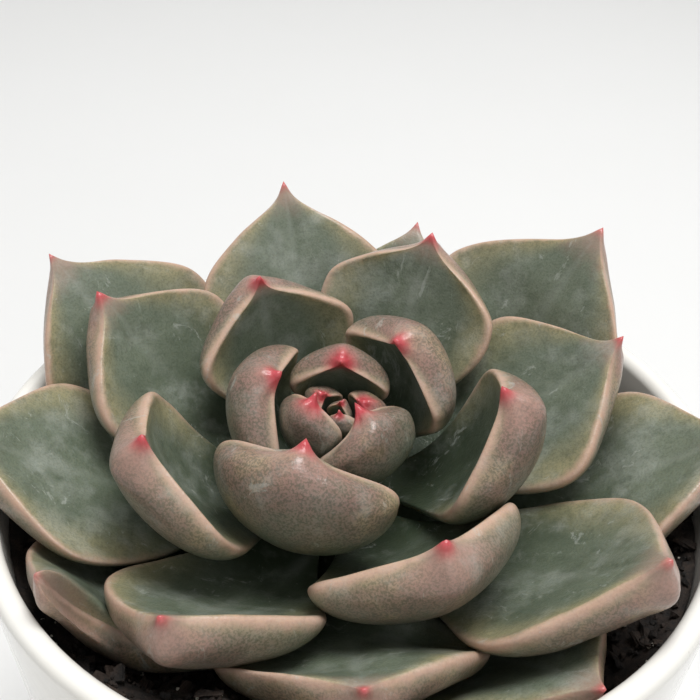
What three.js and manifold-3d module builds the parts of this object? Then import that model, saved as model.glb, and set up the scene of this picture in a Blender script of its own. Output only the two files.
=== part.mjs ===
// A rosette succulent planted in a round glazed pot. Millimetres, +Z up.
// The origin is the centre of the pot's flat underside, and -Y is the front.

import Module from 'manifold-3d';
import * as THREE from 'three';
import { mergeVertices } from 'three/addons/utils/BufferGeometryUtils.js';

const { clamp, degToRad, lerp, smoothstep } = THREE.MathUtils;

// ---- Pot ----
const POT_HEIGHT = 82;
const RIM_INNER_RADIUS = 45;
const BASE_OUTER_RADIUS = 40;
const WALL = 3;
const POT_FLOOR = 5;
const BASE_EDGE_RADIUS = 2.5;
const ROUND_SEGMENTS = 48;
const LIP_STEPS = 6;
const EDGE_STEPS = 3;

// ---- Soil ----
const SOIL_BELOW_RIM = 5;
const SOIL_RINGS = 11;
const SOIL_RING_STEP = 3.6;
const CLEARANCE = 0.3;

// ---- Stem ----
const STEM_BURIED = 12;
const STEM_INSET = 0.5;
const STEM_DROP = 2.2;
const STEM_CROWN = 0.4;
const STEM_SEGMENTS = 20;

// ---- Rosette ----
// It leans a little towards the front and stands slightly off the pot's axis. Its leaves follow one
// spiral, each turned by the golden angle from the one before.
const ROSETTE_OFFSET_X = -2.5;
const ROSETTE_OFFSET_Y = 0.5;
const ROSETTE_TILT = 14;
const GOLDEN_ANGLE = 137.5;
const FIRST_DIRECTION = 143;
const YOUNGEST_AGE = -2;

// How a leaf grows with age, counted in leaves from the bud outwards. Radius and height place its foot,
// the height from the rim. Rise and tipRise are its slope at the foot and at the tip, cup is how far each
// half bends up round the midrib, and point is the share of the length that narrows to the tip.
// Angles are in degrees.
const GROWTH = [
  { age: -2, length: 5.5, halfWidth: 1.8, thickness: 1.5,
    radius: 0.8, height: 3, rise: 85, tipRise: 97, cup: 40, point: 0.3 },
  { age: 0, length: 8, halfWidth: 3, thickness: 2.3,
    radius: 1.3, height: 1.5, rise: 65, tipRise: 105, cup: 46, point: 0.3 },
  { age: 2, length: 14, halfWidth: 4.8, thickness: 3.4,
    radius: 1.8, height: 0, rise: 40, tipRise: 124, cup: 50, point: 0.3 },
  { age: 4, length: 18.5, halfWidth: 7.4, thickness: 4.4,
    radius: 2.6, height: -2, rise: 20, tipRise: 138, cup: 52, point: 0.28 },
  { age: 7, length: 29, halfWidth: 12.5, thickness: 5.4,
    radius: 3.6, height: -5, rise: 0, tipRise: 142, cup: 48, point: 0.24 },
  { age: 8, length: 29, halfWidth: 12.5, thickness: 5.4,
    radius: 3.8, height: -5.5, rise: 0, tipRise: 105, cup: 44, point: 0.36 },
  { age: 10, length: 34, halfWidth: 13.5, thickness: 5.6,
    radius: 4.3, height: -6.6, rise: 0, tipRise: 94, cup: 38, point: 0.3 },
  { age: 12, length: 36, halfWidth: 14.5, thickness: 5.8,
    radius: 4.7, height: -7.6, rise: 0, tipRise: 88, cup: 34, point: 0.3 },
  { age: 14, length: 40, halfWidth: 14.5, thickness: 5.8,
    radius: 5.1, height: -8.5, rise: -1, tipRise: 72, cup: 26, point: 0.38 },
  { age: 16, length: 43, halfWidth: 14.5, thickness: 5.8,
    radius: 5.5, height: -9.4, rise: -2, tipRise: 62, cup: 22, point: 0.38 },
  { age: 18, length: 46, halfWidth: 14.8, thickness: 5.8,
    radius: 5.8, height: -10.2, rise: -1, tipRise: 58, cup: 18, point: 0.36 },
  { age: 20, length: 46, halfWidth: 15, thickness: 5.6,
    radius: 6, height: -11, rise: 0, tipRise: 56, cup: 16, point: 0.37 },
  { age: 25, length: 44, halfWidth: 14, thickness: 5.4,
    radius: 6.4, height: -12.5, rise: 2, tipRise: 54, cup: 14, point: 0.36 },
];

// Each leaf's own habit, youngest first: how far it leans off the spiral, its length and width against
// the usual ones, how much more its foot and its tip rise, and how far its tip rolls to one side.
const HABITS = [
  { lean: 0, stretch: 1, spread: 1, rise: 0, curl: 0, roll: 0 },
  { lean: 0, stretch: 1, spread: 1, rise: 0, curl: 0, roll: 0 },
  { lean: 0, stretch: 1, spread: 1, rise: 0, curl: 0, roll: 0 },
  { lean: 0, stretch: 0.85, spread: 1, rise: 0, curl: 0, roll: 0 },
  { lean: 0, stretch: 1.15, spread: 1, rise: 0, curl: 0, roll: 0 },
  { lean: -4, stretch: 0.96, spread: 1.15, rise: 0, curl: 4, roll: 0 },
  { lean: -8, stretch: 1, spread: 1, rise: 6, curl: 8, roll: 0 },
  { lean: 0, stretch: 0.98, spread: 1.12, rise: 0, curl: 0, roll: 0 },
  { lean: 2, stretch: 0.98, spread: 0.94, rise: 0, curl: 0, roll: 0 },
  { lean: -8, stretch: 1, spread: 1, rise: 0, curl: 0, roll: 0 },
  { lean: 0, stretch: 1, spread: 0.98, rise: 0, curl: -4, roll: 0 },
  { lean: 2, stretch: 1.12, spread: 0.88, rise: 0, curl: 18, roll: 0 },
  { lean: 0, stretch: 1.04, spread: 0.95, rise: 0, curl: 5, roll: 0 },
  { lean: -4, stretch: 1, spread: 0.95, rise: 0, curl: -16, roll: 0 },
  { lean: 5, stretch: 1, spread: 0.96, rise: 0, curl: 8, roll: 0 },
  { lean: 0, stretch: 1.02, spread: 0.95, rise: 0, curl: -12, roll: 0 },
  { lean: 0, stretch: 1.02, spread: 1, rise: 0, curl: -12, roll: 0 },
  { lean: 2, stretch: 1.04, spread: 0.95, rise: 0, curl: 10, roll: 25 },
  { lean: 0, stretch: 1.01, spread: 1, rise: 0, curl: -6, roll: 0 },
  { lean: -1, stretch: 1.14, spread: 1, rise: 0, curl: 14, roll: -10 },
  { lean: 2, stretch: 1.05, spread: 1, rise: 1, curl: 0, roll: 10 },
  { lean: -11, stretch: 1.08, spread: 1.15, rise: 0, curl: 5, roll: 0 },
  { lean: 3, stretch: 0.92, spread: 1.1, rise: 6, curl: 10, roll: 0 },
  { lean: 15, stretch: 1.06, spread: 1.1, rise: 0, curl: 2, roll: 0 },
  { lean: -1, stretch: 1.15, spread: 1, rise: 0, curl: -4, roll: -12 },
  { lean: 1, stretch: 1.02, spread: 1, rise: 4, curl: 12, roll: 35 },
  { lean: -8, stretch: 0.9, spread: 1, rise: 0, curl: -10, roll: 0 },
  { lean: 4, stretch: 1.06, spread: 1, rise: 0, curl: 0, roll: 0 },
];

// ---- Leaf shape, as shares of the leaf's length, width or thickness ----
const LEAF_RINGS = 13;
const LEAF_SIDES = 12;
const FOOT_WIDTH = 0.2;
const FOOT_THICKNESS = 0.26;
const FOOT_ROUNDING = 0.006;
const WIDEST_AT = 0.62;
const THICKEST_AT = 0.68;
const TIP_THICKNESS = 0.5;
const TIP_STRAIGHTNESS = 0.25;
const UPPER_SHARE = 0.25;

// ---- How the pieces press on the ones below ----
const PRESS_GAP = 0.8;
const LEAF_PRESS_LIMIT = 9;
const SOIL_PRESS_LIMIT = 20;
const PRESS_ROUNDS = 14;
const OUTWARD_AGE = 4;
const DOWNWARD_AGE = 10;

// ---- Surfaces ----
const POT_COLOUR = '#e9e6df';
const SOIL_COLOUR = '#1c1916';
const STEM_COLOUR = '#6d5a45';
const YOUNG_LEAF_COLOUR = '#a3776f';
const OLD_LEAF_COLOUR = '#6f7d6a';
const OLD_AGE = 20;
const POT_ROUGHNESS = 0.22;
const SOIL_ROUGHNESS = 0.95;
const STEM_ROUGHNESS = 0.8;
const LEAF_ROUGHNESS = 0.42;

const wasm = await Module();
wasm.setup();

const SAME_POINT = 1e-4;
const soilLevel = POT_HEIGHT - SOIL_BELOW_RIM;

// Only the positions are kept, so that vertices at one place become one vertex.
function closedGeometry(geometry) {
  geometry.deleteAttribute('normal');
  geometry.deleteAttribute('uv');
  const merged = mergeVertices(geometry, SAME_POINT);
  merged.computeVertexNormals();
  return merged;
}

// A lathe turns about Y, so its result is stood up to turn about Z.
function turned(profile, segments) {
  const geometry = new THREE.LatheGeometry(profile, segments);
  geometry.rotateX(Math.PI / 2);
  return closedGeometry(geometry);
}

function arcPoints(centreX, centreY, radius, fromDegrees, toDegrees, steps) {
  const points = [];
  for (let i = 0; i <= steps; i += 1) {
    const angle = degToRad(lerp(fromDegrees, toDegrees, i / steps));
    points.push(new THREE.Vector2(centreX + radius * Math.cos(angle), centreY + radius * Math.sin(angle)));
  }
  return points;
}

function solidFrom(geometry) {
  const vertProperties = new Float32Array(geometry.getAttribute('position').array);
  const triVerts = new Uint32Array(geometry.index.array);
  return new wasm.Manifold(new wasm.Mesh({ numProp: 3, vertProperties, triVerts }));
}

function geometryFrom(solid) {
  const mesh = solid.getMesh();
  const geometry = new THREE.BufferGeometry();
  geometry.setAttribute('position', new THREE.BufferAttribute(new Float32Array(mesh.vertProperties), 3));
  geometry.setIndex(new THREE.BufferAttribute(new Uint32Array(mesh.triVerts), 1));
  geometry.computeVertexNormals();
  return geometry;
}

// ---- Pot, soil and stem ----

// Radius of the pot's inner wall at a height above its base.
function innerRadius(height) {
  const slope = (RIM_INNER_RADIUS + WALL - BASE_OUTER_RADIUS) / POT_HEIGHT;
  return RIM_INNER_RADIUS - slope * (POT_HEIGHT - height);
}

function potGeometry() {
  const lipRadius = WALL / 2;
  const lipHeight = POT_HEIGHT - lipRadius;
  const lipCentre = RIM_INNER_RADIUS + lipRadius;
  const edgeCentre = BASE_OUTER_RADIUS - BASE_EDGE_RADIUS;
  const profile = [
    new THREE.Vector2(0, 0),
    ...arcPoints(edgeCentre, BASE_EDGE_RADIUS, BASE_EDGE_RADIUS, -90, 0, EDGE_STEPS),
    ...arcPoints(lipCentre, lipHeight, lipRadius, 0, 180, LIP_STEPS),
    new THREE.Vector2(innerRadius(POT_FLOOR), POT_FLOOR),
    new THREE.Vector2(0, POT_FLOOR),
  ];
  return turned(profile, ROUND_SEGMENTS);
}

// The soil fills the pot to a level surface, cut into rings so that the leaves can press into it.
function levelSoil() {
  const bottom = POT_FLOOR + CLEARANCE;
  const top = innerRadius(soilLevel) - CLEARANCE;
  const profile = [new THREE.Vector2(0, bottom), new THREE.Vector2(innerRadius(bottom) - CLEARANCE, bottom)];
  for (let ring = 0; ring <= SOIL_RINGS; ring += 1) {
    profile.push(new THREE.Vector2(top - SOIL_RING_STEP * ring, soilLevel));
  }
  profile.push(new THREE.Vector2(0, soilLevel));
  return turned(profile, ROUND_SEGMENTS);
}

// The stem is a cone inside the ring of leaf feet, with its lower end in the soil. A swelling makes it
// that much bigger all over.
function stemGeometry(swelling) {
  const stations = [];
  for (const stage of GROWTH) {
    stations.unshift(new THREE.Vector2(stage.radius - STEM_INSET + swelling, stage.height - STEM_DROP));
  }
  const bottom = stations[0].y + STEM_DROP - STEM_BURIED - swelling;
  const crown = stations[stations.length - 1].y + STEM_CROWN + swelling;
  const profile = [
    new THREE.Vector2(0, bottom),
    new THREE.Vector2(stations[0].x, bottom),
    ...stations,
    new THREE.Vector2(0, crown),
  ];
  return turned(profile, STEM_SEGMENTS);
}

// ---- Leaves ----

function growthAt(age) {
  let next = 1;
  while (next < GROWTH.length - 1 && GROWTH[next].age < age) {
    next += 1;
  }
  const before = GROWTH[next - 1];
  const after = GROWTH[next];
  const share = (age - before.age) / (after.age - before.age);
  const growth = {};
  for (const name of Object.keys(before)) {
    growth[name] = lerp(before[name], after[name], share);
  }
  return growth;
}

// Half width against the widest, from the narrow foot over broad shoulders to the drawn-out point.
function widthShare(along, point) {
  const foot = lerp(FOOT_WIDTH, 1, smoothstep(along, 0, WIDEST_AT));
  const fromTip = Math.min(1, (1 - along) / point);
  const shoulder = smoothstep(fromTip, 0, 1);
  const straight = Math.sin((fromTip * Math.PI) / 2);
  return foot * lerp(shoulder, straight, TIP_STRAIGHTNESS);
}

function thicknessShare(along) {
  if (along < THICKEST_AT) {
    return lerp(FOOT_THICKNESS, 1, smoothstep(along, 0, THICKEST_AT));
  }
  const towardsTip = (along - THICKEST_AT) / (1 - THICKEST_AT);
  return lerp(1, TIP_THICKNESS, towardsTip ** 2);
}

// Every leaf starts as this ball, whose poles become its foot and its point.
const leafBall = closedGeometry(new THREE.SphereGeometry(1, LEAF_SIDES, LEAF_RINGS));

// Each ring of the ball is laid across a midrib that is an arc of a circle, and bent up into a cup.
function leafGeometry(growth, habit) {
  const geometry = leafBall.clone();
  const position = geometry.getAttribute('position');
  const length = growth.length * habit.stretch;
  const rise = degToRad(growth.rise + habit.rise);
  const bend = degToRad(growth.tipRise + habit.curl) - rise;
  const cup = degToRad(growth.cup);
  const vertex = new THREE.Vector3();
  for (let i = 0; i < position.count; i += 1) {
    vertex.fromBufferAttribute(position, i);
    const ring = (Math.acos(clamp(vertex.y, -1, 1)) / Math.PI) * LEAF_RINGS;
    const along = clamp((ring - 1) / (LEAF_RINGS - 1), -FOOT_ROUNDING, 1);
    const around = Math.atan2(vertex.z, vertex.x);
    const body = Math.hypot(vertex.x, vertex.z) < SAME_POINT ? 0 : 1;
    const halfWidth = body * growth.halfWidth * habit.spread * widthShare(along, growth.point);
    const share = Math.sin(around) > 0 ? UPPER_SHARE : 1 - UPPER_SHARE;
    const layer = body * growth.thickness * thicknessShare(along) * share * Math.sin(around);
    const wrap = cup * Math.cos(around);
    const flatSide = (halfWidth * Math.sin(wrap)) / cup - layer * Math.sin(wrap);
    const flatLift = (halfWidth * (1 - Math.cos(wrap))) / cup + layer * Math.cos(wrap);
    const turn = degToRad(habit.roll) * along;
    const side = flatSide * Math.cos(turn) - flatLift * Math.sin(turn);
    const lift = flatSide * Math.sin(turn) + flatLift * Math.cos(turn);
    const slope = rise + bend * along;
    const outward = growth.radius + (length * (Math.sin(slope) - Math.sin(rise))) / bend;
    const upward = growth.height + (length * (Math.cos(rise) - Math.cos(slope))) / bend;
    position.setXYZ(i, outward - lift * Math.sin(slope), side, upward + lift * Math.cos(slope));
  }
  return geometry;
}

// ---- Pressing ----

// For each vertex of the ball, the one that faces it through the leaf's thickness.
function facingVertices() {
  const position = leafBall.getAttribute('position');
  const vertex = new THREE.Vector3();
  const other = new THREE.Vector3();
  const facing = [];
  for (let i = 0; i < position.count; i += 1) {
    vertex.fromBufferAttribute(position, i);
    vertex.z = -vertex.z;
    let nearest = i;
    for (let j = 0; j < position.count; j += 1) {
      other.fromBufferAttribute(position, j);
      nearest = other.distanceTo(vertex) < SAME_POINT * 10 ? j : nearest;
    }
    facing.push(nearest);
  }
  return facing;
}

// Heights at which a vertical line through (x, y) meets a closed surface, each with its triangle.
function crossings(geometry, x, y) {
  const position = geometry.getAttribute('position');
  const index = geometry.index.array;
  const found = [];
  for (let i = 0; i < index.length; i += 3) {
    const [a, b, c] = [index[i], index[i + 1], index[i + 2]];
    const ax = position.getX(a) - x;
    const ay = position.getY(a) - y;
    const bx = position.getX(b) - x;
    const by = position.getY(b) - y;
    const cx = position.getX(c) - x;
    const cy = position.getY(c) - y;
    const shareA = bx * cy - cx * by;
    const shareB = cx * ay - ax * cy;
    const shareC = ax * by - bx * ay;
    const area = shareA + shareB + shareC;
    if (area !== 0 && shareA / area >= 0 && shareB / area >= 0 && shareC / area >= 0) {
      const heights = shareA * position.getZ(a) + shareB * position.getZ(b) + shareC * position.getZ(c);
      found.push({ height: heights / area, corners: [a, b, c] });
    }
  }
  return found.sort((one, other) => one.height - other.height);
}

// Sinks a lower piece wherever an upper one reaches into it, and returns the deepest press. A vertex
// sinks with the one that faces it, so a leaf keeps its thickness. A piece that can be buried also
// gives way where the upper one lies wholly below its surface.
function pressDown(lower, upper, { facing, limit, canBeBuried }) {
  lower.computeBoundingBox();
  upper.computeBoundingBox();
  if (!upper.boundingBox.intersectsBox(lower.boundingBox)) {
    return 0;
  }
  const soft = lower.getAttribute('position');
  const hard = upper.getAttribute('position');
  const sink = new Array(soft.count).fill(0);
  for (let i = 0; i < soft.count; i += 1) {
    const met = crossings(upper, soft.getX(i), soft.getY(i));
    if (met.length > 1 && (canBeBuried || soft.getZ(i) < met[met.length - 1].height)) {
      sink[i] = Math.max(0, soft.getZ(i) - met[0].height + PRESS_GAP);
    }
  }
  for (let i = 0; i < hard.count; i += 1) {
    const met = crossings(lower, hard.getX(i), hard.getY(i));
    if (met.length > 1 && hard.getZ(i) > met[0].height) {
      const top = met[met.length - 1];
      for (const corner of top.corners) {
        sink[corner] = Math.max(sink[corner], top.height - hard.getZ(i) + PRESS_GAP);
      }
    }
  }
  const allowed = sink.map((depth) => (depth > limit ? 0 : depth));
  for (let i = 0; i < soft.count; i += 1) {
    soft.setZ(i, soft.getZ(i) - Math.max(allowed[i], allowed[facing[i]]));
  }
  return Math.max(...allowed);
}

function settleUnder(lower, uppers, settings) {
  for (let round = 0; round < PRESS_ROUNDS; round += 1) {
    const deepest = uppers.map((upper) => pressDown(lower, upper, settings));
    if (Math.max(0, ...deepest) === 0) {
      break;
    }
  }
  lower.computeVertexNormals();
}

// Turns a leaf that grows in that direction so that the way it gives under younger leaves is straight
// down. The upright young ones give way outwards, and the spreading older ones downwards.
function pressFrame(direction, age) {
  const slope = (Math.PI / 2) * (1 - smoothstep(age, OUTWARD_AGE, DOWNWARD_AGE));
  const turnedBack = new THREE.Matrix4().makeRotationZ(-direction);
  return new THREE.Matrix4().makeRotationY(slope).multiply(turnedBack);
}

// ---- The plant in its pot ----

function addMesh(parent, name, geometry, color, roughness) {
  const material = new THREE.MeshStandardMaterial({ color, roughness, metalness: 0 });
  const mesh = new THREE.Mesh(geometry, material);
  mesh.name = name;
  parent.add(mesh);
}

const plantInPot = new THREE.Group();
addMesh(plantInPot, 'pot', potGeometry(), POT_COLOUR, POT_ROUGHNESS);

const rosette = new THREE.Group();
rosette.position.set(ROSETTE_OFFSET_X, ROSETTE_OFFSET_Y, POT_HEIGHT);
rosette.rotation.x = degToRad(ROSETTE_TILT);
plantInPot.add(rosette);
addMesh(rosette, 'stem', stemGeometry(0), STEM_COLOUR, STEM_ROUGHNESS);

// Each older leaf settles against the backs of all the younger ones.
const leaves = [];
const leafPress = { facing: facingVertices(), limit: LEAF_PRESS_LIMIT, canBeBuried: false };
HABITS.forEach((habit, order) => {
  const age = YOUNGEST_AGE + order;
  const geometry = leafGeometry(growthAt(age), habit);
  const direction = degToRad(FIRST_DIRECTION - GOLDEN_ANGLE * age + habit.lean);
  const frame = pressFrame(direction, age);
  geometry.rotateZ(direction).applyMatrix4(frame);
  settleUnder(geometry, leaves.map((leaf) => leaf.clone().applyMatrix4(frame)), leafPress);
  geometry.applyMatrix4(frame.invert());
  leaves.push(geometry);
  const youth = clamp(1 - age / OLD_AGE, 0, 1);
  const colour = new THREE.Color(OLD_LEAF_COLOUR).lerp(new THREE.Color(YOUNG_LEAF_COLOUR), youth);
  const name = `leaf_${String(order + 1).padStart(2, '0')}`;
  addMesh(rosette, name, geometry, colour, LEAF_ROUGHNESS);
});

// The soil gives way under the lowest leaves and closes round the stem.
plantInPot.updateMatrixWorld(true);
const soil = levelSoil();
const leavesInPlace = leaves.map((leaf) => leaf.clone().applyMatrix4(rosette.matrixWorld));
const soilVertices = [...soil.getAttribute('position').array.keys()];
settleUnder(soil, leavesInPlace, { facing: soilVertices, limit: SOIL_PRESS_LIMIT, canBeBuried: true });
const stemSpace = stemGeometry(CLEARANCE).applyMatrix4(rosette.matrixWorld);
const plantedSoil = geometryFrom(solidFrom(soil).subtract(solidFrom(stemSpace)));
addMesh(plantInPot, 'soil', plantedSoil, SOIL_COLOUR, SOIL_ROUGHNESS);

export default plantInPot;
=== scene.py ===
"""A rosette succulent in a glazed pot, modelled round its CAD frame. Metres, +Z up, -Y to the front."""

import math
import random

import bmesh
import bpy
from bpy.props import FloatProperty, FloatVectorProperty, IntProperty, PointerProperty
from mathutils import Matrix, Vector, noise
from mathutils.bvhtree import BVHTree


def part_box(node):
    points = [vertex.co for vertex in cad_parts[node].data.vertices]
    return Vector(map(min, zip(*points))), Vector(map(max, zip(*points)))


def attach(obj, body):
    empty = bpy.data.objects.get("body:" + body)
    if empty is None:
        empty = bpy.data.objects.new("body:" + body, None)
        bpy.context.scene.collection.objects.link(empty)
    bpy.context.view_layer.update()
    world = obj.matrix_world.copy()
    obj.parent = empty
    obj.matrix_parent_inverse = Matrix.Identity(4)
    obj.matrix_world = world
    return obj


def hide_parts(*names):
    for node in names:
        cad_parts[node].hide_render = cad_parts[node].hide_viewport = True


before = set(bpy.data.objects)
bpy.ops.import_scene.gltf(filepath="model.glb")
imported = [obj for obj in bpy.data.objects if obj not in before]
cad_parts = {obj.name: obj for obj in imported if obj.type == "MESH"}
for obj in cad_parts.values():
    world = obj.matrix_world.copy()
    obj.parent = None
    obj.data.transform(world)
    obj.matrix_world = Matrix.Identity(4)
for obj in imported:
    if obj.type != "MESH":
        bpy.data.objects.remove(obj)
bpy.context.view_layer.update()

bl_info = {
    "name": "Potted Rosette Succulent",
    "version": (1, 0, 0),
    "blender": (4, 5, 0),
    "location": "3D View > Sidebar > Plant",
    "description": "Models a rosette succulent, its soil and its glazed pot on the CAD frame",
    "category": "Object",
}

MM = 0.001

# ---- Pot ----
POT_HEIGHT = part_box("pot")[1].z
RIM_OUTER_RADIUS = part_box("pot")[1].x
WALL = 3.0 * MM
RIM_INNER_RADIUS = RIM_OUTER_RADIUS - WALL
BASE_OUTER_RADIUS = 40.0 * MM
POT_FLOOR = 5.0 * MM

# ---- Soil ----
SOIL_LEVEL = POT_HEIGHT - 5.0 * MM
SOIL_RINGS = 46
CRUMB_KINDS = ["crumb"] * 16 + ["chip"] * 3 + ["grit"]
CRUMB_SHAPES = 6

# ---- Leaves ----
LEAF_SIDES = 12
LEAF_RINGS = 12
WIDE_RING = 7
LEAF_COUNT = 28
INNER_LEAVES = 12
# The hard point, in millimetres on a grown leaf.
POINT_LENGTH = 2.2
POINT_WIDTH = 1.15
POINT_SETBACK = 1.2
POINT_LIFT = 0.15
BROW = 0.7
SPOT_WIDTH = 2.9
# Leaves narrow to their point in a hollow curve, over this many millimetres.
PINCH = 0.42
PINCH_REACH = 6.0
NECK_AT = 0.85
FIT_ROUNDS = 2
WELD_DISTANCE = 0.005 * MM

# ---- Camera ----
CAMERA_TARGET = (-1.2, 22.1, 82.0)
CAMERA_DISTANCE = 160.5
CAMERA_ELEVATION = 35.4
CAMERA_ROLL = 2.2
SENSOR_WIDTH = 36
FOCAL_LENGTH = 56.57


def linear(red, green, blue):
    """A screen colour, given from 0 to 255, as the linear colour that a shader takes."""
    shares = [c / 255 for c in (red, green, blue)]
    return tuple(s / 12.92 if s <= 0.04045 else ((s + 0.055) / 1.055) ** 2.4 for s in shares)


def smooth(value, low, high):
    """0 below low, 1 above high, and an even S-curve between them."""
    share = min(1.0, max(0.0, (value - low) / (high - low)))
    return share * share * (3 - 2 * share)


def bell(value, width):
    """1 at zero, falling away on both sides over about that width."""
    return math.exp(-((value / width) ** 2))


# ---------------------------------------------------------------- shader maths


class Value:
    """One socket of a shader, so that sums on sockets read as sums on numbers."""

    def __init__(self, finish, socket):
        self.finish = finish
        self.socket = socket

    def __add__(self, other):
        return self.finish.sum("ADD", self, other)

    def __radd__(self, other):
        return self.finish.sum("ADD", other, self)

    def __sub__(self, other):
        return self.finish.sum("SUBTRACT", self, other)

    def __rsub__(self, other):
        return self.finish.sum("SUBTRACT", other, self)

    def __mul__(self, other):
        return self.finish.sum("MULTIPLY", self, other)


class Finish:
    """A material being made from nodes."""

    def __init__(self, name):
        self.material = bpy.data.materials.new(name)
        self.material.use_nodes = True
        self.tree = self.material.node_tree
        self.tree.nodes.clear()
        self.place = self.node("ShaderNodeTexCoord", out="Object")

    def node(self, kind, settings=None, inputs=None, out=0):
        """Makes a node, sets it up, then fills its sockets, and gives one of its outputs."""
        made = self.tree.nodes.new(kind)
        for name, value in (settings or {}).items():
            setattr(made, name, value)
        for name, value in (inputs or {}).items():
            if isinstance(value, Value):
                self.tree.links.new(value.socket, made.inputs[name])
            else:
                made.inputs[name].default_value = value
        return Value(self, made.outputs[out])

    def sum(self, operation, first, second):
        return self.node("ShaderNodeMath", {"operation": operation}, {0: first, 1: second})

    def highest(self, first, second):
        return self.sum("MAXIMUM", first, second)

    def size_of(self, value):
        return self.sum("ABSOLUTE", value, 0.0)

    def step(self, value, low, high):
        """0 below low and 1 above high, with a soft step between. Low may be the larger."""
        settings = {"interpolation_type": "SMOOTHSTEP"}
        inputs = {"Value": value, "From Min": low, "From Max": high}
        return self.node("ShaderNodeMapRange", settings, inputs)

    def mixed(self, share, first, second):
        """Goes from the first colour to the second."""
        colours = [c if isinstance(c, Value) else (*c, 1.0)[:4] for c in (first, second)]
        settings = {"data_type": "RGBA", "clamp_factor": True}
        return self.node("ShaderNodeMix", settings, {0: share, 6: colours[0], 7: colours[1]}, out=2)

    def attribute(self, name):
        return self.node("ShaderNodeAttribute", {"attribute_name": name}, out="Fac")

    def grain(self, size, detail=3.0, roughness=0.55, stretch=(1, 1, 1), offset=0.0, warp=0.0):
        """Cloudy noise whose lumps are about that size in metres, from 0 to 1."""
        scale = tuple(s / size for s in stretch)
        moved = self.node(
            "ShaderNodeMapping",
            {},
            {"Vector": self.place, "Scale": scale, "Location": (offset, offset, offset)},
        )
        return self.node(
            "ShaderNodeTexNoise",
            {"noise_dimensions": "3D"},
            {"Vector": moved, "Scale": 1.0, "Detail": detail, "Roughness": roughness, "Distortion": warp},
        )

    def cells(self, size, offset=0.0):
        """Distance to the nearest of many points about that far apart."""
        moved = self.node(
            "ShaderNodeMapping",
            {},
            {"Vector": self.place, "Scale": (1 / size,) * 3, "Location": (offset,) * 3},
        )
        return self.node("ShaderNodeTexVoronoi", {}, {"Vector": moved, "Scale": 1.0})

    def bump(self, height, distance, strength=1.0):
        return self.node(
            "ShaderNodeBump", {}, {"Height": height, "Distance": distance, "Strength": strength}
        )

    def surface(self, inputs):
        """The shader itself, which ends the material."""
        shader = self.node("ShaderNodeBsdfPrincipled", {}, inputs, out="BSDF")
        end = self.tree.nodes.new("ShaderNodeOutputMaterial")
        self.tree.links.new(shader.socket, end.inputs["Surface"])
        return self.material


# ---------------------------------------------------------------- making pieces


def new_piece(name, mesh, material, replaces=()):
    """Puts a finished mesh in the scene as a piece that rides with the pot."""
    mesh.name = name
    for polygon in mesh.polygons:
        polygon.use_smooth = True
    mesh.materials.clear()
    mesh.materials.append(material)
    piece = bpy.data.objects.new(name, mesh)
    bpy.context.scene.collection.objects.link(piece)
    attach(piece, "root")
    if replaces:
        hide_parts(*replaces)
    return piece


def mesh_from(bm, name):
    mesh = bpy.data.meshes.new(name)
    bm.to_mesh(mesh)
    bm.free()
    return mesh


def subdivided(mesh, levels):
    """A copy of the mesh, smoothed by that many levels of subdivision."""
    holder = bpy.data.objects.new("subdividing", mesh)
    bpy.context.scene.collection.objects.link(holder)
    modifier = holder.modifiers.new("smooth", "SUBSURF")
    modifier.levels = levels
    modifier.render_levels = levels
    modifier.use_limit_surface = True
    depsgraph = bpy.context.evaluated_depsgraph_get()
    result = bpy.data.meshes.new_from_object(holder.evaluated_get(depsgraph))
    bpy.data.objects.remove(holder)
    return result


def turned(profile, steps, rounded=()):
    """A bmesh made by turning a profile of (radius, height) points about the pot's axis.

    The points numbered in rounded become arcs of the given (radius, segments) first.
    """
    bm = bmesh.new()
    line = [bm.verts.new((x, 0, z)) for x, z in profile]
    for start, end in zip(line, line[1:]):
        bm.edges.new((start, end))
    for corner, (radius, segments) in rounded:
        bmesh.ops.bevel(
            bm,
            geom=[line[corner]],
            offset=radius,
            offset_type="OFFSET",
            segments=segments,
            profile=0.5,
            affect="VERTICES",
            material=-1,
        )
    bmesh.ops.spin(
        bm,
        geom=bm.verts[:] + bm.edges[:],
        cent=(0, 0, 0),
        axis=(0, 0, 1),
        angle=math.tau,
        steps=steps,
        use_merge=True,
    )
    bmesh.ops.remove_doubles(bm, verts=bm.verts, dist=1e-6)
    bmesh.ops.recalc_face_normals(bm, faces=bm.faces)
    return bm


# ---------------------------------------------------------------- leaves


def ring_cycle(ring):
    """The vertices of one ring in order round the leaf."""
    members = set(ring)
    ordered = [ring[0]]
    while len(ordered) < len(ring):
        beside = [e.other_vert(ordered[-1]) for e in ordered[-1].link_edges]
        following = [v for v in beside if v in members and v not in ordered]
        if not following:
            raise RuntimeError("a ring of the leaf is not closed")
        ordered.append(following[0])
    return ordered


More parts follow.
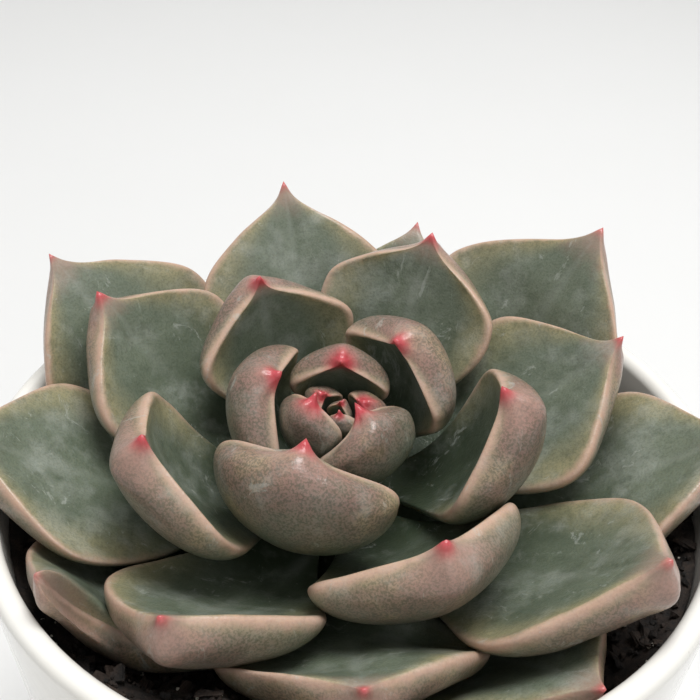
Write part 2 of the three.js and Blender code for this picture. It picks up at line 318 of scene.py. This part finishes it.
def leaf_rings(bm, stem_centre):
    """The rings of a leaf from foot to tip, each from one margin over the upper face to the other."""
    poles = [v for v in bm.verts if len(v.link_edges) == LEAF_SIDES]
    if len(poles) != 2:
        raise RuntimeError(f"a leaf has {len(poles)} ends instead of 2")
    foot, tip = sorted(poles, key=lambda v: (v.co - stem_centre).length)
    rings, seen, front = [], {foot}, [foot]
    while tip not in front:
        beyond = []
        for vertex in front:
            for edge in vertex.link_edges:
                other = edge.other_vert(vertex)
                if other not in seen:
                    seen.add(other)
                    beyond.append(other)
        front = beyond
        if len(front) == LEAF_SIDES:
            rings.append(ring_cycle(front))
    if len(rings) != LEAF_RINGS:
        raise RuntimeError(f"a leaf has {len(rings)} rings instead of {LEAF_RINGS}")
    for before, ring in zip(rings, rings[1:]):
        choices = [
            [ring[(shift + way * i) % LEAF_SIDES] for i in range(LEAF_SIDES)]
            for shift in range(LEAF_SIDES)
            for way in (1, -1)
        ]
        ring[:] = min(choices, key=lambda c: sum((a.co - b.co).length for a, b in zip(before, c)))
    half, quarter = LEAF_SIDES // 2, LEAF_SIDES // 4
    wide = rings[WIDE_RING]
    margin = max(range(half), key=lambda s: (wide[s].co - wide[s + half].co).length)
    middle = (wide[margin].co + wide[margin + half].co) / 2
    ahead = wide[(margin + quarter) % LEAF_SIDES].co
    behind = wide[(margin - quarter) % LEAF_SIDES].co
    way = 1 if (ahead - middle).length < (behind - middle).length else -1
    rings = [[ring[(margin + way * i) % LEAF_SIDES] for i in range(LEAF_SIDES)] for ring in rings]
    return foot, rings, tip


def leaf_cage(node):
    """A leaf's CAD mesh as rings of four-sided faces that know their place on the leaf."""
    bm = bmesh.new()
    bm.from_mesh(node.data)
    bmesh.ops.remove_doubles(bm, verts=bm.verts, dist=WELD_DISTANCE)
    along = bm.verts.layers.float.new("along")
    across = bm.verts.layers.float.new("across")
    upper = bm.verts.layers.float.new("upper")
    low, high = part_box("stem")
    foot, rings, tip = leaf_rings(bm, (low + high) / 2)
    side_of = {v: s for ring in rings for s, v in enumerate(ring)}
    ring_of = {v: r for r, ring in enumerate(rings) for v in ring}
    ring_of[foot], ring_of[tip] = 0, LEAF_RINGS
    for vertex in bm.verts:
        vertex[along] = ring_of[vertex] / LEAF_RINGS
        if vertex in side_of:
            turn = math.tau * side_of[vertex] / LEAF_SIDES
            vertex[across] = -math.cos(turn)
            vertex[upper] = math.sin(turn)
    slanting = [
        e
        for e in bm.edges
        if all(v in side_of for v in e.verts)
        and ring_of[e.verts[0]] != ring_of[e.verts[1]]
        and side_of[e.verts[0]] != side_of[e.verts[1]]
    ]
    bmesh.ops.dissolve_edges(bm, edges=slanting, use_verts=False)
    inside = [v for v in bm.verts if v in side_of and 0 < ring_of[v] < LEAF_RINGS - 1]
    bmesh.ops.smooth_vert(
        bm, verts=inside, factor=0.25, use_axis_x=True, use_axis_y=True, use_axis_z=True
    )
    return mesh_from(bm, "leaf cage")


def fitted(cage, rounds):
    """Moves the cage out until its smoothed surface passes through the points it started from."""
    wanted = [v.co.copy() for v in cage.vertices]
    for _ in range(rounds):
        smoothed = subdivided(cage, 1)
        for vertex, target in zip(cage.vertices, wanted):
            vertex.co += target - smoothed.vertices[vertex.index].co
        bpy.data.meshes.remove(smoothed)
    return cage


def leaf_mesh(node, age, levels, seed):
    """A fleshy leaf, with its keel, midrib, rolled margin and hard point."""
    cage = fitted(leaf_cage(node), FIT_ROUNDS)
    tip, neck = leaf_tip(cage)
    mesh = subdivided(cage, levels)
    mesh.attributes.new("spot", "FLOAT", "POINT")
    along = mesh.attributes["along"].data
    across = mesh.attributes["across"].data
    upper = mesh.attributes["upper"].data
    spot = mesh.attributes["spot"].data
    normals = [v.normal.copy() for v in mesh.vertices]
    shift = Vector((seed * 3.1, seed * 1.7, seed * 2.3))
    grown = 0.45 + 0.55 * smooth(age, 0.05, 0.4)
    axis = (tip - neck).normalized()
    point_way = (axis + Vector((0, 0, POINT_LIFT))).normalized()
    for i, vertex in enumerate(mesh.vertices):
        t, x, u = along[i].value, across[i].value, upper[i].value
        reach = smooth(t, 0.15, 0.5)
        lumps = noise.noise(vertex.co * 70 + shift) * 0.5 + noise.noise(vertex.co * 210 + shift) * 0.14
        keel = 0.55 * bell(x, 0.28) * smooth(t, 0.45, 0.9) * smooth(-u, 0.2, 0.9)
        groove = -0.3 * bell(x, 0.16) * reach * (1 - smooth(t, 0.75, 0.95)) * smooth(u, 0.4, 0.95)
        rim = 0.22 * bell(u - 0.15, 0.3) * smooth(t, 0.35, 0.6)
        swell = lumps * reach * (0.35 + 0.65 * age) + keel + groove + rim
        away = (vertex.co - tip).length / MM
        drawn = POINT_LENGTH * grown * math.exp(-((away / (POINT_WIDTH * grown)) ** 1.15))
        back = POINT_SETBACK * grown * smooth(t, 0.82, 1.0)
        brow = BROW * grown * smooth(t, 0.8, 0.96) * smooth(u, 0.0, 0.8) * smooth(away, 0.5, 2.5)
        spot[i].value = bell(away, SPOT_WIDTH * (1.2 - 0.4 * age) * (0.3 + 0.7 * smooth(age, 0.0, 0.25)))
        vertex.co += normals[i] * swell * MM
        behind = (tip - vertex.co).dot(axis) / MM
        beside = vertex.co - tip + axis * behind * MM
        pinch = PINCH * (1 - smooth(behind, -0.5, PINCH_REACH * grown))
        vertex.co += point_way * (drawn - back + brow) * MM - beside * pinch
    return mesh


def leaf_tip(cage):
    """The tip of a leaf's cage, and the middle of a ring a little way behind it."""
    along = [a.value for a in cage.attributes["along"].data]
    ring = [v.co for v, t in zip(cage.vertices, along) if abs(t - NECK_AT) < 0.5 / LEAF_RINGS]
    neck = sum(ring, Vector()) / len(ring)
    return cage.vertices[along.index(max(along))].co.copy(), neck


class LeafLook(bpy.types.PropertyGroup):
    """The colours of the leaves."""

    face_colour: FloatVectorProperty(
        name="Upper face",
        description="Grey-green of the upper face",
        subtype="COLOR",
        size=3,
        min=0,
        max=1,
        default=linear(110, 119, 102),
    )
    # Dark green: partly the leaf's own deeper green at the foot, partly painted shade for the shaded cup
    # of the rosette; also the colour of the dark specks and mottle.
    foot_shade_and_speck_colour: FloatVectorProperty(
        name="Base",
        description="Darker green towards the foot",
        subtype="COLOR",
        size=3,
        min=0,
        max=1,
        default=linear(58, 68, 52),
    )
    olive_colour: FloatVectorProperty(
        name="Olive",
        description="Yellowish green near the margins of the upper face",
        subtype="COLOR",
        size=3,
        min=0,
        max=1,
        default=linear(168, 158, 120),
    )
    back_colour: FloatVectorProperty(
        name="Back",
        description="Mauve-brown blush of the back",
        subtype="COLOR",
        size=3,
        min=0,
        max=1,
        default=linear(138, 108, 98),
    )
    margin_colour: FloatVectorProperty(
        name="Margin",
        description="Salmon band along the margin",
        subtype="COLOR",
        size=3,
        min=0,
        max=1,
        default=linear(208, 166, 152),
    )
    point_colour: FloatVectorProperty(
        name="Point",
        description="Crimson of the hard point",
        subtype="COLOR",
        size=3,
        min=0,
        max=1,
        default=linear(188, 52, 68),
    )
    bloom_colour: FloatVectorProperty(
        name="Bloom",
        description="Pale powder on the skin",
        subtype="COLOR",
        size=3,
        min=0,
        max=1,
        default=linear(176, 180, 172),
    )
    levels: IntProperty(
        name="Smoothness",
        description="Levels of subdivision in each leaf",
        default=3,
        min=1,
        max=4,
    )


def leaf_skin(name, look, blush):
    """Waxy skin: green face darkened towards the foot partly by painted shade, blushed back and margin,
    red point, powder, specks and scuffs.
    """
    f = Finish(name)
    along, across, upper = f.attribute("along"), f.attribute("across"), f.attribute("upper")
    clouds = f.grain(9 * MM, 4.0, 0.6)
    mottle = f.grain(2.2 * MM, 4.0, 0.65, offset=4.0)
    fine = f.grain(0.3 * MM, 2.0, 0.6, offset=9.0)
    wander = (clouds - 0.5) * 0.5
    margin_share = f.size_of(across)

    # Painted shade: the upper face darkens to the dark green towards the foot, down in the shaded cup,
    # over the face's own deeper green there.
    face = f.mixed(f.step(along + wander, 0.2, 0.8), look.foot_shade_and_speck_colour, look.face_colour)
    olive = f.step(margin_share + wander * 0.8, 0.45, 1.0) * f.step(along, 0.3, 0.6)
    face = f.mixed(olive * 0.75, face, look.olive_colour)
    bluish = f.step(f.grain(7 * MM, 3.0, 0.6, offset=41.0), 0.48, 0.66) * f.step(along, 0.25, 0.55)
    face = f.mixed(bluish * 0.26, face, look.bloom_colour)
    face = f.mixed(f.step(fine, 0.46, 0.62) * 0.25, face, look.foot_shade_and_speck_colour)
    face = f.mixed(f.step(mottle, 0.42, 0.75) * 0.35, face, look.foot_shade_and_speck_colour)
    # The back also starts from the dark green at its foot, partly painted shade and partly the back's own
    # green base.
    back = f.mixed(f.step(along + wander, 0.1, 0.4), look.foot_shade_and_speck_colour, look.face_colour)
    flush = f.step(along + wander * 1.3 + (mottle - 0.5) * 0.3, 0.4, 0.95)
    back = f.mixed(flush, back, look.back_colour)
    back = f.mixed(f.step(clouds, 0.5, 0.72) * 0.5, back, look.olive_colour)
    back = f.mixed(f.step(fine, 0.42, 0.6) * 0.55, back, look.foot_shade_and_speck_colour)
    on_back = f.step(upper + (mottle - 0.5) * 0.3, 0.05, -0.45) * blush
    skin = f.mixed(on_back, face, back)

    edge = f.step(f.size_of(upper - 0.05) + (mottle - 0.5) * 0.4, 0.4, 0.02)
    tip_band = f.step(along + (mottle - 0.5) * 0.1, 0.84, 0.98) * 0.7
    margin = f.highest(edge * f.step(along + wander * 0.3, 0.3, 0.65), tip_band)
    skin = f.mixed(margin * 0.6, skin, look.margin_colour)

    midrib = f.step(f.size_of(across + (mottle - 0.5) * 0.14), 0.12, 0.0)
    midrib = midrib * f.step(upper, 0.5, 0.9) * f.step(along + wander * 0.6, 0.35, 0.75)
    skin = f.mixed(midrib * 0.12, skin, look.bloom_colour)

    powder = f.step(f.grain(5 * MM, 5.0, 0.7, offset=17.0), 0.5, 0.75)
    skin = f.mixed(powder * 0.25, skin, look.bloom_colour)
    scuffs = f.step(f.grain(3.5 * MM, 6.0, 0.75, stretch=(1, 1, 0.3), offset=31.0, warp=1.2), 0.6, 0.66)
    skin = f.mixed(scuffs * 0.4, skin, look.bloom_colour)
    point = f.step(f.attribute("spot") + (mottle - 0.5) * 0.3, 0.1, 0.8)
    skin = f.mixed(point * 0.85, skin, look.point_colour)

    gloss = 0.3 + powder * 0.13 + (fine - 0.5) * 0.12 + scuffs * 0.12
    relief = fine * 0.5 + f.grain(0.9 * MM, 3.0, 0.6, offset=23.0) * 1.0
    return f.surface(
        {
            "Base Color": skin,
            "Roughness": gloss,
            "Normal": f.bump(relief, 0.08 * MM, 0.8),
            "IOR": 1.45,
            "Coat Weight": 0.12,
            "Coat Roughness": 0.22,
            "Subsurface Weight": 0.12,
            "Subsurface Radius": (0.9, 0.55, 0.3),
            "Subsurface Scale": 0.004,
        }
    )


def grow_leaves(first, last, material, levels):
    for number in range(first, last + 1):
        node = f"leaf_{number:02d}"
        age = min(1.0, (number - 1) / 20)
        mesh = leaf_mesh(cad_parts[node], age, levels, number)
        new_piece(f"fleshy_{node}", mesh, material, [node])


class PLANT_OT_inner_leaves(bpy.types.Operator):
    """Models the young leaves that stand up round the bud"""

    bl_idname = "plant.inner_leaves"
    bl_label = "Inner leaves"

    def execute(self, context):
        look = context.scene.plant_leaves
        skin = leaf_skin("Blushed leaf skin", look, 0.95)
        grow_leaves(1, INNER_LEAVES, skin, look.levels)
        return {"FINISHED"}


class PLANT_OT_outer_leaves(bpy.types.Operator):
    """Models the grown leaves that spread over the rim"""

    bl_idname = "plant.outer_leaves"
    bl_label = "Outer leaves"

    def execute(self, context):
        look = context.scene.plant_leaves
        skin = leaf_skin("Grey-green leaf skin", look, 0.8)
        grow_leaves(INNER_LEAVES + 1, LEAF_COUNT, skin, look.levels)
        return {"FINISHED"}


# ---------------------------------------------------------------- pot


class PotLook(bpy.types.PropertyGroup):
    """The pot's glaze."""

    glaze_colour: FloatVectorProperty(
        name="Glaze",
        description="Off-white of the glaze",
        subtype="COLOR",
        size=3,
        min=0,
        max=1,
        default=linear(236, 234, 228),
    )
    clay_colour: FloatVectorProperty(
        name="Bare clay",
        description="Clay of the unglazed foot ring",
        subtype="COLOR",
        size=3,
        min=0,
        max=1,
        default=linear(196, 184, 164),
    )


def pot_glaze(look):
    f = Finish("Off-white gloss glaze")
    height = f.node("ShaderNodeSeparateXYZ", {}, {"Vector": f.place}, out="Z")
    clouds = f.grain(14 * MM, 3.0, 0.5)
    warm = f.mixed(f.step(clouds, 0.35, 0.7) * 0.25, look.glaze_colour, linear(226, 220, 208))
    dots = f.step(f.cells(3.4 * MM, offset=5.0), 0.1, 0.05)
    specks = dots * f.step(f.grain(6 * MM, 2.0, offset=3.0), 0.5, 0.6)
    warm = f.mixed(specks * 0.35, warm, linear(150, 132, 108))
    bare = f.step(height + (f.grain(1.2 * MM, 3.0, offset=8.0) - 0.5) * 0.0006, 0.0014, 0.0008)
    colour = f.mixed(bare, warm, look.clay_colour)
    ripple = f.grain(11 * MM, 2.0, 0.4, offset=6.0) + f.grain(0.8 * MM, 2.0, offset=2.0) * 0.04
    return f.surface(
        {
            "Base Color": colour,
            "Roughness": 0.13 + bare * 0.55 + (clouds - 0.5) * 0.06,
            "Coat Weight": 0.35 - bare * 0.35,
            "Coat Roughness": 0.06,
            "Normal": f.bump(ripple, 0.35 * MM, 0.7),
            "IOR": 1.52,
            "Subsurface Weight": 0.0,
        }
    )


class PLANT_OT_pot(bpy.types.Operator):
    """Turns the round pot with its soft lip and foot ring"""

    bl_idname = "plant.pot"
    bl_label = "Pot"

    def execute(self, context):
        lean = (RIM_OUTER_RADIUS - BASE_OUTER_RADIUS) / POT_HEIGHT
        foot_height = 0.9 * MM
        profile = [
            (0, foot_height),
            (BASE_OUTER_RADIUS - 6 * MM, foot_height),
            (BASE_OUTER_RADIUS - 5 * MM, 0),
            (BASE_OUTER_RADIUS, 0),
            (RIM_OUTER_RADIUS, POT_HEIGHT),
            (RIM_INNER_RADIUS, POT_HEIGHT),
            (RIM_INNER_RADIUS - lean * (POT_HEIGHT - POT_FLOOR), POT_FLOOR),
            (0, POT_FLOOR),
        ]
        rounded = [
            (1, (0.4 * MM, 3)),
            (2, (0.6 * MM, 3)),
            (3, (2.5 * MM, 8)),
            (4, (1.35 * MM, 8)),
            (5, (1.35 * MM, 8)),
            (6, (3 * MM, 6)),
        ]
        bm = turned(profile, 144, rounded)
        tall = [e for e in bm.edges if abs(e.verts[0].co.z - e.verts[1].co.z) > 20 * MM]
        bmesh.ops.subdivide_edges(bm, edges=tall, cuts=24, use_grid_fill=True)
        for vertex in bm.verts:
            reach = math.hypot(vertex.co.x, vertex.co.y)
            if reach > 1 * MM:
                wave = noise.noise(Vector((vertex.co.x, vertex.co.y, vertex.co.z * 0.6)) * 28) * 0.1 * MM
                vertex.co.x *= 1 - (wave + 0.1 * MM) / reach
                vertex.co.y *= 1 - (wave + 0.1 * MM) / reach
        mesh = mesh_from(bm, "pot")
        new_piece("glazed_pot", mesh, pot_glaze(context.scene.plant_pot), ["pot"])
        return {"FINISHED"}


# ---------------------------------------------------------------- soil


class SoilLook(bpy.types.PropertyGroup):
    """The potting mix."""

    dark_colour: FloatVectorProperty(
        name="Peat",
        description="Dark ground of the mix",
        subtype="COLOR",
        size=3,
        min=0,
        max=1,
        default=linear(24, 22, 21),
    )
    bark_colour: FloatVectorProperty(
        name="Bark",
        description="Brown of the bark crumbs",
        subtype="COLOR",
        size=3,
        min=0,
        max=1,
        default=linear(56, 45, 38),
    )
    grit_colour: FloatVectorProperty(
        name="Grit",
        description="Pale mineral grains",
        subtype="COLOR",
        size=3,
        min=0,
        max=1,
        default=linear(206, 200, 188),
    )
    crumbs: IntProperty(
        name="Crumbs",
        description="Number of loose crumbs on the surface",
        default=4600,
        min=0,
        max=9000,
    )


def soil_finish(look):
    f = Finish("Dark potting mix")
    tone = f.attribute("tone")
    lumps = f.grain(1.6 * MM, 5.0, 0.7)
    fine = f.grain(0.3 * MM, 3.0, 0.7, offset=3.0)
    earth = f.mixed(f.step(lumps + tone * 0.4, 0.45, 0.95), look.dark_colour, look.bark_colour)
    earth = f.mixed(f.step(fine, 0.55, 0.8) * 0.35, earth, linear(98, 84, 70))
    pale = f.step(tone, 0.94, 0.96)
    colour = f.mixed(pale, earth, look.grit_colour)
    colour = f.mixed(f.step(fine, 0.5, 0.7) * pale * 0.4, colour, linear(150, 140, 124))
    return f.surface(
        {
            "Base Color": colour,
            "Roughness": 0.82 + (fine - 0.5) * 0.25,
            "Normal": f.bump(lumps + fine * 0.5, 0.35 * MM, 1.0),
            "IOR": 1.4,
        }
    )


def soil_surface():
    """A tree of the CAD soil's faces, to find its height at any place."""
    bm = bmesh.new()
    bm.from_mesh(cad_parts["soil"].data)
    tree = BVHTree.FromBMesh(bm)
    bm.free()
    return tree


def soil_height(tree, x, y):
    hit = tree.ray_cast(Vector((x, y, POT_HEIGHT)), Vector((0, 0, -1)))
    return hit[0].z if hit[0] else None


class PLANT_OT_soil(bpy.types.Operator):
    """Fills the pot with a rough body of potting mix"""

    bl_idname = "plant.soil"
    bl_label = "Soil"

    def execute(self, context):
        tree = soil_surface()
        low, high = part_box("soil")
        rim = high.x - 0.1 * MM
        bottom_radius = rim - (RIM_OUTER_RADIUS - BASE_OUTER_RADIUS) * (SOIL_LEVEL - low.z) / POT_HEIGHT
        profile = [(0, low.z), (bottom_radius, low.z)]
        profile += [(rim * (1 - i / SOIL_RINGS), SOIL_LEVEL) for i in range(SOIL_RINGS + 1)]
        bm = turned(profile, 150)
        for vertex in bm.verts:
            if vertex.co.z < SOIL_LEVEL - 1e-6:
                continue
            reach = math.hypot(vertex.co.x, vertex.co.y)
            inside = min(1.0, (rim - 0.4 * MM) / max(reach, 1e-9))
            found = soil_height(tree, vertex.co.x * inside, vertex.co.y * inside)
            clods = noise.fractal(vertex.co * 260, 0.7, 2.0, 5)
            crumbs = noise.noise(vertex.co * 1400)
            base = found if found is not None else SOIL_LEVEL - 2 * MM
            vertex.co.z = min(base, SOIL_LEVEL) + (clods * 0.9 + crumbs * 0.35 - 0.7) * MM
        mesh = mesh_from(bm, "soil")
        tone = mesh.attributes.new("tone", "FLOAT", "POINT").data
        for i, vertex in enumerate(mesh.vertices):
            tone[i].value = 0.35 + 0.3 * noise.noise(vertex.co * 700)
        finish = soil_finish(context.scene.plant_soil)
        new_piece("potting_mix", mesh, finish, ["soil"])
        return {"FINISHED"}


def crumb_mesh(kind, rng):
    """One crumb of the mix, about 1 across, as a bmesh."""
    bm = bmesh.new()
    bm.verts.layers.float.new("tone")
    if kind == "chip":
        bmesh.ops.create_cube(bm, size=1.0)
        bmesh.ops.subdivide_edges(bm, edges=bm.edges, cuts=1, use_grid_fill=True)
        bmesh.ops.scale(bm, vec=(1.5, 0.7, 0.22), verts=bm.verts)
    else:
        bmesh.ops.create_icosphere(bm, subdivisions=1, radius=0.5)
    rough = {"chip": 0.12, "crumb": 0.16, "grit": 0.09}[kind]
    for vertex in bm.verts:
        vertex.co += Vector([rng.uniform(-rough, rough) for _ in range(3)])
    return bm


class PLANT_OT_crumbs(bpy.types.Operator):
    """Scatters bark chips, crumbs and pale grit over the soil"""

    bl_idname = "plant.crumbs"
    bl_label = "Crumbs"

    def execute(self, context):
        look = context.scene.plant_soil
        rng = random.Random(20)
        tree = soil_surface()
        templates = {
            kind: [mesh_from(crumb_mesh(kind, rng), kind) for _ in range(CRUMB_SHAPES)]
            for kind in ("crumb", "chip", "grit")
        }
        bm = bmesh.new()
        bm.verts.layers.float.new("tone")
        for _ in range(look.crumbs):
            kind = rng.choice(CRUMB_KINDS)
            reach = (RIM_INNER_RADIUS - 1.6 * MM) * math.sqrt(rng.uniform(0.12, 1))
            angle = rng.uniform(0, math.tau)
            x, y = reach * math.cos(angle), reach * math.sin(angle)
            size = {
                "crumb": rng.uniform(0.4, 1.2),
                "chip": rng.uniform(0.8, 1.9),
                "grit": rng.uniform(0.25, 0.6),
            }[kind]
            shade = {"crumb": rng.uniform(0, 0.6), "chip": rng.uniform(0.3, 0.9), "grit": 1.0}[kind]
            ground = soil_height(tree, x, y)
            if ground is None:
                continue
            crumb = rng.choice(templates[kind]).copy()
            crumb.attributes["tone"].data.foreach_set("value", [shade] * len(crumb.vertices))
            spin = Matrix.Rotation(rng.uniform(0, math.tau), 4, "Z")
            lean = Matrix.Rotation(rng.uniform(-0.7, 0.7), 4, "X")
            place = Matrix.Translation((x, y, ground - 0.5 * MM + size * 0.2 * MM))
            crumb.transform(place @ spin @ lean @ Matrix.Scale(size * MM, 4))
            bm.from_mesh(crumb)
            bpy.data.meshes.remove(crumb)
        for kept in templates.values():
            for mesh in kept:
                bpy.data.meshes.remove(mesh)
        mesh = mesh_from(bm, "crumbs")
        piece = new_piece("soil_crumbs", mesh, bpy.data.materials["Dark potting mix"])
        for polygon in piece.data.polygons:
            polygon.use_smooth = False
        return {"FINISHED"}


# ---------------------------------------------------------------- stem


class StemLook(bpy.types.PropertyGroup):
    """The stem's bark."""

    bark_colour: FloatVectorProperty(
        name="Bark",
        description="Dry brown of the stem",
        subtype="COLOR",
        size=3,
        min=0,
        max=1,
        default=linear(116, 94, 72),
    )


def stem_bark(look):
    f = Finish("Dry stem bark")
    rings = f.grain(1.4 * MM, 4.0, 0.6, stretch=(0.4, 0.4, 1.6))
    fine = f.grain(0.25 * MM, 3.0, 0.6, offset=5.0)
    colour = f.mixed(f.step(rings, 0.4, 0.65), linear(70, 54, 40), look.bark_colour)
    colour = f.mixed(f.step(fine, 0.55, 0.75) * 0.4, colour, linear(158, 140, 114))
    return f.surface(
        {
            "Base Color": colour,
            "Roughness": 0.75 + (fine - 0.5) * 0.3,
            "Normal": f.bump(rings + fine * 0.4, 0.3 * MM, 1.0),
        }
    )


class PLANT_OT_stem(bpy.types.Operator):
    """Models the short stem with its leaf scars"""

    bl_idname = "plant.stem"
    bl_label = "Stem"

    def execute(self, context):
        bm = bmesh.new()
        bm.from_mesh(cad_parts["stem"].data)
        bmesh.ops.remove_doubles(bm, verts=bm.verts, dist=WELD_DISTANCE)
        bmesh.ops.subdivide_edges(bm, edges=bm.edges, cuts=3)
        bmesh.ops.smooth_vert(
            bm, verts=bm.verts, factor=0.5, use_axis_x=True, use_axis_y=True, use_axis_z=True
        )
        bm.normal_update()
        for vertex in bm.verts:
            scars = noise.noise(Vector((vertex.co.x * 300, vertex.co.y * 300, vertex.co.z * 900)))
            vertex.co += vertex.normal * (scars - 0.4) * 0.35 * MM
        mesh = mesh_from(bm, "stem")
        new_piece("scarred_stem", mesh, stem_bark(context.scene.plant_stem), ["stem"])
        return {"FINISHED"}


# ---------------------------------------------------------------- stage


class StageLook(bpy.types.PropertyGroup):
    """The studio round the plant."""

    floor_colour: FloatVectorProperty(
        name="Floor",
        description="Pale floor and walls",
        subtype="COLOR",
        size=3,
        min=0,
        max=1,
        default=linear(226, 226, 225),
    )
    key_power: FloatProperty(
        name="Main light",
        description="Power of the large soft light above",
        default=5.0,
        min=0,
        unit="POWER",
    )
    fill_strength: FloatProperty(
        name="Fill",
        description="Strength of the even light all round",
        default=0.62,
        min=0,
    )


class PLANT_OT_stage(bpy.types.Operator):
    """Sets the pale floor, the soft lights and the camera"""

    bl_idname = "plant.stage"
    bl_label = "Stage"

    def execute(self, context):
        scene = context.scene
        look = scene.plant_stage
        bm = turned([(0, 0), (1.1, 0), (1.6, 0.0), (1.6, 1.2)], 96, [(2, (0.45, 12))])
        mesh = mesh_from(bm, "floor")
        for polygon in mesh.polygons:
            polygon.use_smooth = True
        f = Finish("Pale matt floor")
        cloud = f.grain(60 * MM, 3.0, 0.5)
        colour = f.mixed(f.step(cloud, 0.3, 0.7) * 0.15, look.floor_colour, linear(222, 222, 220))
        floor_paint = f.surface({"Base Color": colour, "Roughness": 0.8})
        mesh.materials.append(floor_paint)
        floor = bpy.data.objects.new("studio_floor", mesh)
        scene.collection.objects.link(floor)

        world = bpy.data.worlds.new("Soft daylight")
        scene.world = world
        world.use_nodes = True
        background = world.node_tree.nodes["Background"]
        background.inputs["Color"].default_value = (1.0, 1.0, 1.0, 1.0)
        background.inputs["Strength"].default_value = look.fill_strength

        def soft_light(name, place, aim, width, power):
            light = bpy.data.lights.new(name, "AREA")
            light.shape = "DISK"
            light.size = width
            light.energy = power
            lamp = bpy.data.objects.new(name, light)
            lamp.location = place
            lamp.rotation_euler = (Vector(aim) - Vector(place)).to_track_quat("-Z", "Y").to_euler()
            scene.collection.objects.link(lamp)

        soft_light("Window", (0.1, 0.1, 0.8), (0, 0, 0.08), 0.42, look.key_power)
        soft_light("Front fill", (0.3, -0.75, 0.45), (0, 0, 0.06), 0.7, look.key_power * 0.18)

        target = Vector(CAMERA_TARGET) * MM
        elevation = math.radians(CAMERA_ELEVATION)
        roll = math.radians(CAMERA_ROLL)
        back = Vector((0, -math.cos(elevation), math.sin(elevation)))
        camera = bpy.data.cameras.new("Camera")
        camera.lens = FOCAL_LENGTH
        camera.sensor_width = SENSOR_WIDTH
        camera.clip_start = 0.005
        camera.clip_end = 20
        eye = bpy.data.objects.new("Camera", camera)
        eye.rotation_mode = "QUATERNION"
        eye.location = target + back * CAMERA_DISTANCE * MM
        look_down = (-back).to_track_quat("-Z", "Y")
        eye.rotation_quaternion = Matrix.Rotation(roll, 3, back).to_quaternion() @ look_down
        scene.collection.objects.link(eye)
        scene.camera = eye
        scene.view_settings.view_transform = "Standard"
        return {"FINISHED"}


# ---------------------------------------------------------------- add-on


class PLANT_PT_panel(bpy.types.Panel):
    """Lists the pieces of the plant and their settings."""

    bl_idname = "PLANT_PT_panel"
    bl_label = "Potted succulent"
    bl_space_type = "VIEW_3D"
    bl_region_type = "UI"
    bl_category = "Plant"

    def draw(self, context):
        for operator in OPERATORS:
            self.layout.operator(operator.bl_idname)
        for name in GROUPS:
            settings = getattr(context.scene, name)
            box = self.layout.box()
            for prop in settings.bl_rna.properties:
                if prop.identifier not in ("rna_type", "name"):
                    box.prop(settings, prop.identifier)


GROUPS = {
    "plant_pot": PotLook,
    "plant_soil": SoilLook,
    "plant_stem": StemLook,
    "plant_leaves": LeafLook,
    "plant_stage": StageLook,
}
OPERATORS = [
    PLANT_OT_pot,
    PLANT_OT_soil,
    PLANT_OT_crumbs,
    PLANT_OT_stem,
    PLANT_OT_inner_leaves,
    PLANT_OT_outer_leaves,
    PLANT_OT_stage,
]


def register():
    for name, group in GROUPS.items():
        bpy.utils.register_class(group)
        setattr(bpy.types.Scene, name, PointerProperty(type=group))
    for kind in [*OPERATORS, PLANT_PT_panel]:
        bpy.utils.register_class(kind)


def unregister():
    for kind in [PLANT_PT_panel, *reversed(OPERATORS)]:
        bpy.utils.unregister_class(kind)
    for name, group in reversed(GROUPS.items()):
        delattr(bpy.types.Scene, name)
        bpy.utils.unregister_class(group)


def main():
    register()
    bpy.ops.plant.pot()
    bpy.ops.plant.soil()
    bpy.ops.plant.crumbs()
    bpy.ops.plant.stem()
    bpy.ops.plant.inner_leaves()
    bpy.ops.plant.outer_leaves()
    bpy.ops.plant.stage()


if __name__ == "__main__":
    main()
